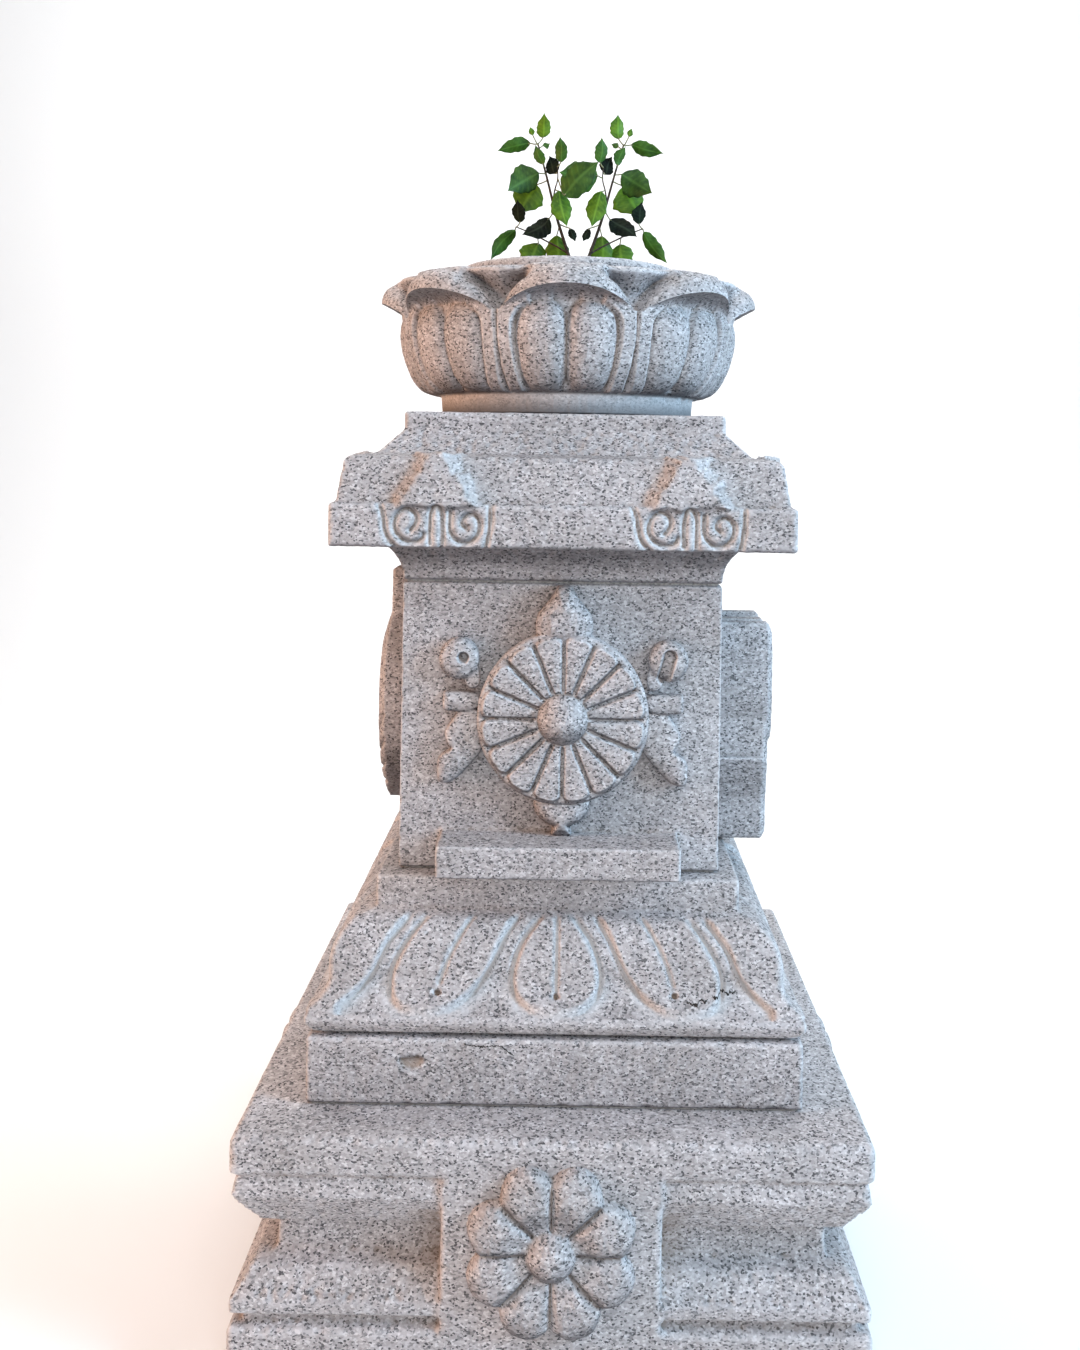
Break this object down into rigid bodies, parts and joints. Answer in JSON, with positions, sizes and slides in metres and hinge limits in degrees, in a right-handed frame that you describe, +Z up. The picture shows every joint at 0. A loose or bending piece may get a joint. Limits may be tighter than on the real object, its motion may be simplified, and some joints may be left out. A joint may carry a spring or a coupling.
{
  "type": "tulsi vrindavan planter",
  "caption": "Square granite pedestal with lotus apron, wheel relief and moulded cornice, carrying a loose round petalled stone bowl planted with holy basil.",
  "frame": {"origin": "on the ground, at the centre of the square pedestal", "axes": "+Z up, front with the wheel emblem towards -Y, +X to the right seen from the front"},
  "size_m": [0.6522, 0.6522, 1.296],
  "materials": {
    "granite": "matte",
    "mortar": "matte",
    "stainless": "satin",
    "gravel": "matte",
    "filter_cloth": "matte",
    "soil": "matte",
    "stem": "matte",
    "leaf": "satin"
  },
  "bodies": {
    "pedestal": {"base_stone": "granite", "base_bed": "mortar", "base_pins": "stainless", "plinth_slab": "granite", "plinth_bed": "mortar", "plinth_pins": "stainless", "lotus_apron": "granite", "apron_bed": "mortar", "apron_pins": "stainless", "shaft": "granite", "shaft_bed": "mortar", "shaft_pins": "stainless", "cornice": "granite"},
    "bowl": {"lotus_bowl": "granite", "drain_screen": "stainless", "gravel_layer": "gravel", "filter_cloth": "filter_cloth", "soil": "soil", "root_ball": "soil", "left_stem": "stem", "right_stem": "stem", "left_leaves": "leaf", "right_leaves": "leaf"}
  },
  "joints": [
    {"name": "bowl_lift", "type": "slide", "parent": "pedestal", "child": "bowl", "axis": [0, 0, 1], "range_m": [0, 0.15]}
  ]
}
